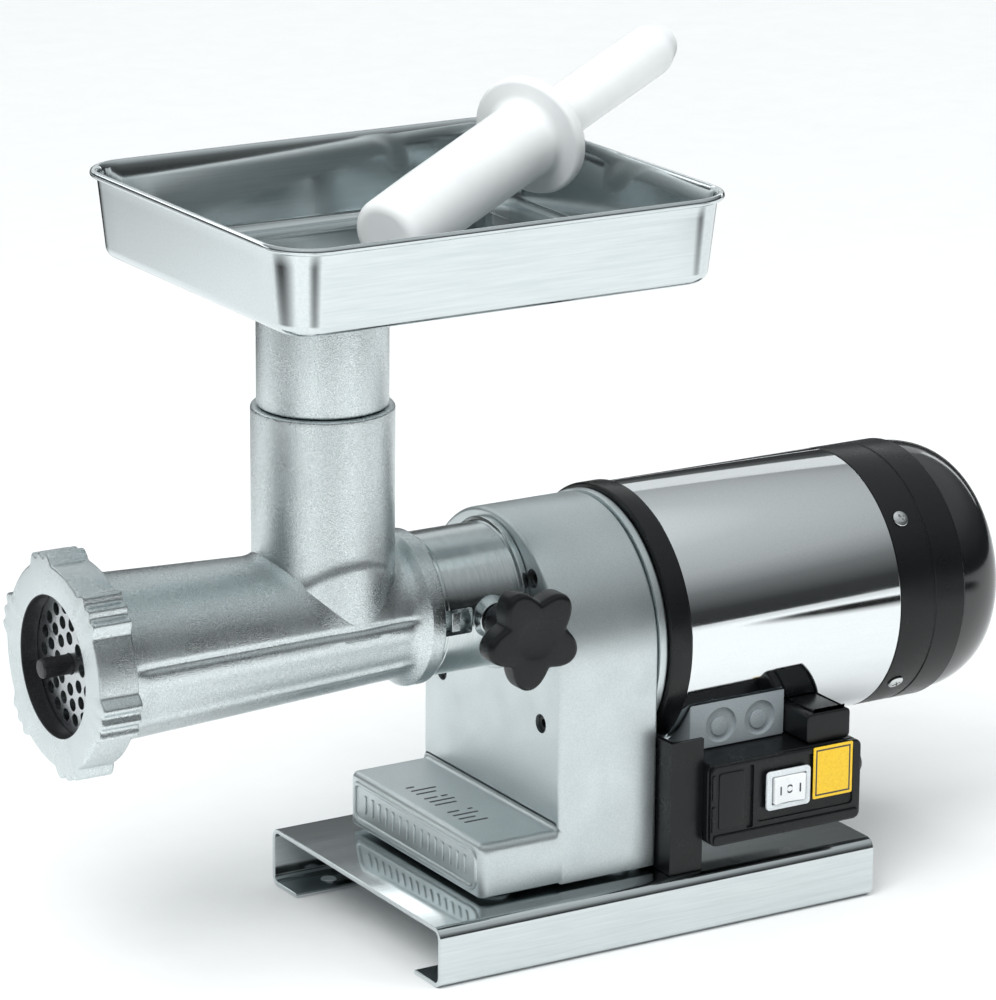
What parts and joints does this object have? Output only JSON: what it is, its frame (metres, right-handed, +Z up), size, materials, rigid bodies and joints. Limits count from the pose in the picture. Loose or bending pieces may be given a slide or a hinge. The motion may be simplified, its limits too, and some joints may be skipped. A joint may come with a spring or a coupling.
{
  "type": "electric meat grinder",
  "caption": "Bench-top electric meat grinder: channel base, gearbox and cylindrical motor, clamped cast head with auger, plate and ring nut, feed neck, tray and pusher.",
  "frame": {"origin": "middle of the whole machine's footprint, on the surface that it stands on", "axes": "+X along the barrel from the outlet to the motor, +Y away from the switch side, +Z up"},
  "size_m": [0.5368, 0.223, 0.4393],
  "materials": {
    "stainless_sheet": "polished stainless sheet with a faint brushed grain",
    "cast_aluminium": "satin light-grey die casting",
    "turned_aluminium": "fine-turned, bright",
    "polished_shell": "mirror-polished stainless tube",
    "tinned_casting": "tinned cast iron with a fine grain",
    "tool_steel": "ground tool steel",
    "machined_steel": "machined steel",
    "zinc_screws": "zinc-plated",
    "blackened_steel": "blackened steel",
    "laminations": "stacked steel sheets",
    "copper_winding": "varnished copper",
    "seal_rubber": "black rubber",
    "black_moulding": "black moulded plastic, half gloss",
    "grey_moulding": "grey moulded plastic",
    "white_polyethylene": "white polyethylene, soft sheen",
    "white_rocker": "white gloss",
    "clear_bezel": "pale clear plastic",
    "yellow_film": "plain yellow film",
    "brass_parts": "turned brass"
  },
  "bodies": {
    "root": {"base_channel": "stainless_sheet", "foot_bolt_1": "zinc_screws", "foot_bolt_2": "zinc_screws", "foot_bolt_3": "zinc_screws", "foot_bolt_4": "zinc_screws", "gearbox_housing": "cast_aluminium", "gearbox_cover": "cast_aluminium", "case_screw_1": "blackened_steel", "case_screw_2": "blackened_steel", "case_screw_3": "blackened_steel", "case_screw_4": "blackened_steel", "shaft_seal": "seal_rubber", "front_bearing": "machined_steel", "rear_bearing": "machined_steel", "motor_front_bearing": "machined_steel", "motor_rear_bearing": "machined_steel", "motor_front_ring": "black_moulding", "motor_shell": "polished_shell", "stator_core": "laminations", "front_winding": "copper_winding", "rear_winding": "copper_winding", "motor_rear_shield": "cast_aluminium", "rear_cap": "black_moulding", "cap_screw_1": "zinc_screws", "cap_screw_2": "zinc_screws", "cap_screw_3": "zinc_screws", "cap_screw_4": "zinc_screws", "head_socket": "turned_aluminium", "box_bracket": "black_moulding", "switch_box": "black_moulding", "cable_gland": "black_moulding", "switch_panel": "black_moulding", "switch_body": "clear_bezel", "capacitor_cover": "black_moulding", "capacitor": "grey_moulding", "plain_label": "yellow_film", "terminal_block": "grey_moulding"},
    "output": {"output_shaft": "machined_steel", "output_gear": "machined_steel"},
    "idler": {"idler_shaft": "machined_steel", "idler_gear": "machined_steel"},
    "rotor": {"rotor_shaft": "machined_steel", "rotor_core": "laminations", "cooling_fan": "black_moulding"},
    "head": {"grinder_body": "tinned_casting", "plate_key": "machined_steel", "thrust_washer": "brass_parts"},
    "auger": {"auger": "tinned_casting", "auger_pin": "blackened_steel", "knife": "tool_steel"},
    "plate": {"grinding_plate": "tool_steel"},
    "ring": {"ring_nut": "tinned_casting"},
    "neck": {"feed_neck": "tinned_casting"},
    "tray": {"feed_tray": "stainless_sheet"},
    "pusher": {"pusher": "white_polyethylene"},
    "pad": {"clamp_pad": "brass_parts"},
    "knob": {"clamp_screw": "zinc_screws", "clamp_knob": "black_moulding"},
    "rocker": {"rocker": "white_rocker"}
  },
  "joints": [
    {"name": "output_spin", "type": "hinge", "parent": "root", "child": "output", "pos_m": [0, 0, 0.1725], "axis": [1, 0, 0], "continuous": true},
    {"name": "idler_spin", "type": "hinge", "parent": "root", "child": "idler", "pos_m": [0, 0.03231, 0.15156], "axis": [1, 0, 0], "continuous": true},
    {"name": "rotor_spin", "type": "hinge", "parent": "root", "child": "rotor", "pos_m": [0, 0, 0.148], "axis": [1, 0, 0], "continuous": true},
    {"name": "head_slide", "type": "slide", "parent": "root", "child": "head", "axis": [-1, 0, 0], "range_m": [0, 0.09]},
    {"name": "auger_spin", "type": "hinge", "parent": "head", "child": "auger", "pos_m": [0, 0, 0.1725], "axis": [1, 0, 0], "continuous": true},
    {"name": "plate_slide", "type": "slide", "parent": "head", "child": "plate", "axis": [-1, 0, 0], "range_m": [0, 0.0121]},
    {"name": "ring_turn", "type": "hinge", "parent": "plate", "child": "ring", "pos_m": [0, 0, 0.1725], "axis": [-1, 0, 0], "range_deg": [0, 1440]},
    {"name": "neck_lift", "type": "slide", "parent": "head", "child": "neck", "axis": [0, 0, 1], "range_m": [0, 0.06]},
    {"name": "tray_lift", "type": "slide", "parent": "neck", "child": "tray", "axis": [0, 0, 1], "range_m": [0, 0.06]},
    {"name": "pusher_lift", "type": "slide", "parent": "tray", "child": "pusher", "axis": [0, 0, 1], "range_m": [0, 0.15]},
    {"name": "pad_slide", "type": "slide", "parent": "root", "child": "pad", "axis": [0, -1, 0], "range_m": [0, 0.0031]},
    {"name": "knob_turn", "type": "hinge", "parent": "pad", "child": "knob", "pos_m": [-0.035, 0, 0.1725], "axis": [0, -1, 0], "range_deg": [0, 720]},
    {"name": "rocker_tilt", "type": "hinge", "parent": "root", "child": "rocker", "pos_m": [0.113, -0.0853, 0.071], "axis": [0, 0, 1], "range_deg": [-7, 7]}
  ],
  "couplings": [
    {"joint": "idler_spin", "follows": "output_spin", "ratio": -3},
    {"joint": "rotor_spin", "follows": "output_spin", "ratio": 10},
    {"joint": "auger_spin", "follows": "output_spin", "ratio": 1},
    {"joint": "plate_slide", "follows": "ring_turn", "m_per_rad": 0.00047746},
    {"joint": "pad_slide", "follows": "knob_turn", "m_per_rad": 0.00023873}
  ]
}
